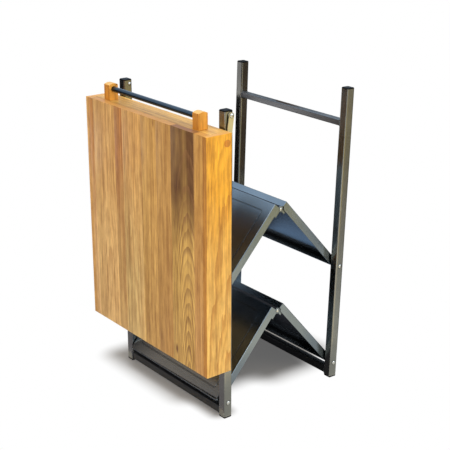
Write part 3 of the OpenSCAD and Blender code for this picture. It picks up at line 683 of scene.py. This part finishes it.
floorLook = {
    "width": 40.0, "paper": "#f2f4f7", "paintedShadowPaper": "#8f8b86",
    "lift": 0.105,  # a faint glow that keeps the shadow from going black
    # how far up the paper looks, in metres, and the shares of open sky at which
    # it starts to clear and is plain white
    "skyReach": 0.7, "clearSky": (0.84, 0.96),
    # boxes of painted shadow, where the table's shadow lies: middle, half size and soft edge, in metres
    "paintedShadowBoxes": (((0.06, 0.1), (0.225, 0.15), 0.09), ((-0.155, -0.01), (0.01, 0.18), 0.045),
                ((0.14, 0.0), (0.05, 0.09), 0.1)),
}


def makeFloor():
    look = floorLook
    mesh = bpy.data.meshes.new("floor")
    edge = look["width"] / 2
    mesh.from_pydata([(-edge, -edge, 0), (edge, -edge, 0), (edge, edge, 0), (-edge, edge, 0)],
                     [], [(0, 1, 2, 3)])
    material, tree, shader = newMaterial("white paper floor")
    path = addNode(tree, "ShaderNodeLightPath")
    # near the table the camera sees the paper greyer: painted shadow, under the lamps' real shadow
    tone = addNode(tree, "ShaderNodeMix", mixing, {
        0: path.outputs["Is Camera Ray"], 6: hexColour(look["paper"]),
        7: hexColour(look["paintedShadowPaper"])})
    tree.links.new(tone.outputs[2], shader.inputs["Base Color"])
    shader.inputs["Roughness"].default_value = 0.9
    lift = addNode(tree, "ShaderNodeMath", {"operation": "MULTIPLY"}, {
        0: path.outputs["Is Camera Ray"], 1: look["lift"]})
    glow = addNode(tree, "ShaderNodeEmission", inputs={"Strength": lift.outputs[0]})
    lifted = addNode(tree, "ShaderNodeAddShader", inputs={0: shader.outputs[0], 1: glow.outputs[0]})
    # away from the table, outside the boxes of painted shadow, the camera sees plain white
    point = addNode(tree, "ShaderNodeTexCoord").outputs["Object"]
    seen = path.outputs["Is Camera Ray"]
    for centre, half, reach in look["paintedShadowBoxes"]:
        shifted = addNode(tree, "ShaderNodeVectorMath", {"operation": "SUBTRACT"}, {
            0: point, 1: (*centre, 0.0)})
        mirrored = addNode(tree, "ShaderNodeVectorMath", {"operation": "ABSOLUTE"}, {
            0: shifted.outputs[0]})
        beyond = addNode(tree, "ShaderNodeVectorMath", {"operation": "SUBTRACT"}, {
            0: mirrored.outputs[0], 1: (*half, 0.0)})
        outside = addNode(tree, "ShaderNodeVectorMath", {"operation": "MAXIMUM"}, {
            0: beyond.outputs[0]})
        away = addNode(tree, "ShaderNodeVectorMath", {"operation": "LENGTH"}, {0: outside.outputs[0]})
        whiteness = addNode(tree, "ShaderNodeMapRange", {"interpolation_type": "SMOOTHSTEP"}, {
            "Value": away.outputs["Value"], "From Max": reach})
        seen = addNode(tree, "ShaderNodeMath", {"operation": "MULTIPLY"}, {
            0: seen, 1: whiteness.outputs[0]}).outputs[0]
    # and where nothing of the table stands near above it, so the painted shadow stays under the table
    sky = addNode(tree, "ShaderNodeAmbientOcclusion", {"samples": 16}, {"Distance": look["skyReach"]})
    covered, bare = look["clearSky"]
    clear = addNode(tree, "ShaderNodeMapRange", {"interpolation_type": "SMOOTHSTEP"}, {
        "Value": sky.outputs["AO"], "From Min": covered, "From Max": bare})
    cleared = addNode(tree, "ShaderNodeMath", {"operation": "MULTIPLY"}, {
        0: clear.outputs[0], 1: path.outputs["Is Camera Ray"]})
    seen = addNode(tree, "ShaderNodeMath", {"operation": "MAXIMUM"}, {
        0: seen, 1: cleared.outputs[0]}).outputs[0]
    white = addNode(tree, "ShaderNodeEmission")
    faded = addNode(tree, "ShaderNodeMixShader", inputs={
        0: seen, 1: lifted.outputs[0], 2: white.outputs[0]})
    showInstead(tree, faded.outputs[0])
    mesh.materials.append(material)
    newObject("floor", mesh)


# painted reflections for the plated steel: dark cards for its black faces, glowing boards and strips for
# its grey, blue and warm ones; neither camera nor lamp light nor shadow sees them. A card with z lies
# level and its corners are x and y; one with y stands upright and its corners are x and z. In metres.
studioCards = {
    "dark reflection card on the floor": {"colour": "#8c8c96", "glow": 0.2, "z": 0.002, "corners": [
        (-0.1, -0.22), (0.36, -0.22), (0.72, -0.6), (0.86, -0.84), (1.2, -1.22), (1.6, -1.6),
        (1.9, -1.8), (2.6, -2.4), (4, -2.4), (4, 1.3), (-3, 1.3), (-3, 0.45), (-0.1, 0.45)]},
    "hanging dark reflection card": {"colour": "#8c8c96", "glow": 0.1, "y": 0.65, "corners": [
        (-2.2, 0), (-0.17, 0), (-0.17, 0.93), (-2.2, 0.93)]},
    "rail card": {"colour": "#f0f0f4", "glow": 2.1, "y": 0.64, "corners": [
        (-0.48, 0.46), (-0.15, 0.46), (-0.15, 0.64), (-0.48, 0.6)]},
    "rail top card": {"colour": "#c8d4dc", "glow": 0.3, "y": 0.65, "corners": [
        (0.5, 0.8), (1.15, 0.8), (1.15, 1.12), (0.5, 1.12)]},
    "leg dark reflection card": {"colour": "#8c8c96", "glow": 0.02, "y": 0.3, "corners": [
        (0.11, 0.3), (0.2, 0.3), (0.2, 0.7), (0.11, 0.7)]},
    "brown reflection card": {"colour": "#b09a84", "glow": 0.3, "y": 0.1, "corners": [
        (0.27, 0.46), (0.36, 0.46), (0.36, 0.82), (0.27, 0.82)]},
    "leg card": {"colour": "#f0f0f8", "glow": 0.8, "y": 0.3, "corners": [
        (0.11, 0.71), (0.2, 0.71), (0.2, 0.85), (0.11, 0.85)]},
    "low dark reflection card": {"colour": "#8c8c96", "glow": 0.15, "y": 0.66, "corners": [
        (-0.05, 0), (1.4, 0), (1.4, 0.74), (-0.05, 0.74)]},
    "side grey reflection card": {"colour": "#bab6c0", "glow": 0.7, "z": 0.002, "corners": [
        (-0.8, -0.4), (-0.195, -0.4), (-0.195, 0.44), (-0.8, 0.44)]},
    "grey strip": {"colour": "#cdb8a6", "glow": 1.25, "y": 0.64, "corners": [
        (-0.5, 0.24), (-0.5, 0.4), (-0.9, 0.72), (-0.9, 0.5)]},
    "blue strip": {"colour": "#9fc4f0", "glow": 0.9, "z": 0.004, "corners": [
        (0.33, -0.1), (0.6, -0.1), (0.6, 0.45), (0.33, 0.45)]},
    "near board": {"colour": "#d8dad8", "glow": 1.0, "z": 0.002, "corners": [
        (-0.4, -0.235), (0.3, -0.235), (0.42, -0.42), (-0.4, -0.42)]},
    "flange board": {"colour": "#fff7e2", "glow": 1.25, "z": 0.002, "corners": [
        (-0.4, -0.42), (0.4, -0.42), (0.6, -1.14), (-0.1, -1.14)]},
    "leg board": {"colour": "#e8ecea", "glow": 0.95, "z": 0.003, "corners": [
        (0.38, -0.3), (0.5, -0.36), (0.86, -0.84), (0.9, -1.14), (0.62, -1.14), (0.43, -0.5)]},
    "far board": {"colour": "#c6bb9c", "glow": 1.0, "z": 0.003, "corners": [
        (1.36, -1.44), (1.9, -1.74), (2.9, -2.6), (3.8, -3.6), (3.0, -3.45)]},
    "warm board": {"colour": "#f0da94", "glow": 1.2, "z": 0.002, "corners": [
        (0.1, -1.15), (0.95, -1.15), (3.4, -3.9), (-1.5, -3.9)]},
}


def makeCard(name, look):
    # a painted reflection: a card, dark or glowing, that only mirror-like surfaces can see
    if "z" in look:
        corners = [(x, y, look["z"]) for x, y in look["corners"]]
    else:
        corners = [(x, look["y"], z) for x, z in look["corners"]]
    mesh = bpy.data.meshes.new(name)
    mesh.from_pydata(corners, [], [tuple(range(len(corners)))])
    material, tree, shader = newMaterial(name)
    glow = addNode(tree, "ShaderNodeEmission", inputs={
        "Color": hexColour(look["colour"]), "Strength": look["glow"]})
    showInstead(tree, glow.outputs[0])
    mesh.materials.append(material)
    card = newObject(name, mesh)
    card.visible_camera = False
    card.visible_diffuse = False
    card.visible_shadow = False
    card.visible_transmission = False


worldLook = {"fill": 0.35, "mirrored": (0.8, 1.0, 1.25)}


def makeWorld():
    # white to the camera, pale blue in mirrors, and a faint fill as light
    world = bpy.data.worlds.new("studio")
    bpy.context.scene.world = world
    world.use_nodes = True
    tree = world.node_tree
    tree.nodes.clear()
    path = addNode(tree, "ShaderNodeLightPath")
    fill = worldLook["fill"]
    mirrored = addNode(tree, "ShaderNodeMix", mixing, {
        0: path.outputs["Is Glossy Ray"], 6: (fill, fill, fill, 1.0),
        7: (*worldLook["mirrored"], 1.0)})
    seen = addNode(tree, "ShaderNodeMix", mixing, {
        0: path.outputs["Is Camera Ray"], 6: mirrored.outputs[2], 7: (1.0, 1.0, 1.0, 1.0)})
    light = addNode(tree, "ShaderNodeBackground", inputs={"Color": seen.outputs[2]})
    addNode(tree, "ShaderNodeOutputWorld", inputs={"Surface": light.outputs[0]})


# places, aims and sizes in metres
softboxes = {
    "overhead softbox": {"place": (-0.35, -0.8, 3.2), "aim": (-0.35, -0.8, 0), "size": 4.0,
                         "watts": 100, "colour": "#fffaf0"},
    "front softbox": {"place": (1.2, -3.0, 1.6), "aim": (0, 0, 0.4), "size": 1.4,
                      "watts": 22, "colour": "#fff8ee"},
    "left softbox": {"place": (-3.0, -0.9, 1.7), "aim": (-0.3, 0, 0.5), "size": 1.6,
                     "watts": 42, "colour": "#fff3e4"},
}


def addSoftbox(name, look):
    data = bpy.data.lights.new(name, "AREA")
    data.shape = "SQUARE"
    data.size = look["size"]
    data.energy = look["watts"]
    data.color = hexColour(look["colour"])[:3]
    lamp = newObject(name, data)
    direction = Vector(look["aim"]) - Vector(look["place"])
    turn = direction.to_track_quat("-Z", "Y").to_matrix().to_4x4()
    lamp.matrix_world = Matrix.Translation(look["place"]) @ turn


makeFloor()
for name, look in studioCards.items():
    makeCard(name, look)
makeWorld()
for name, look in softboxes.items():
    addSoftbox(name, look)
bpy.context.scene.view_settings.view_transform = "Standard"
print("stage set")
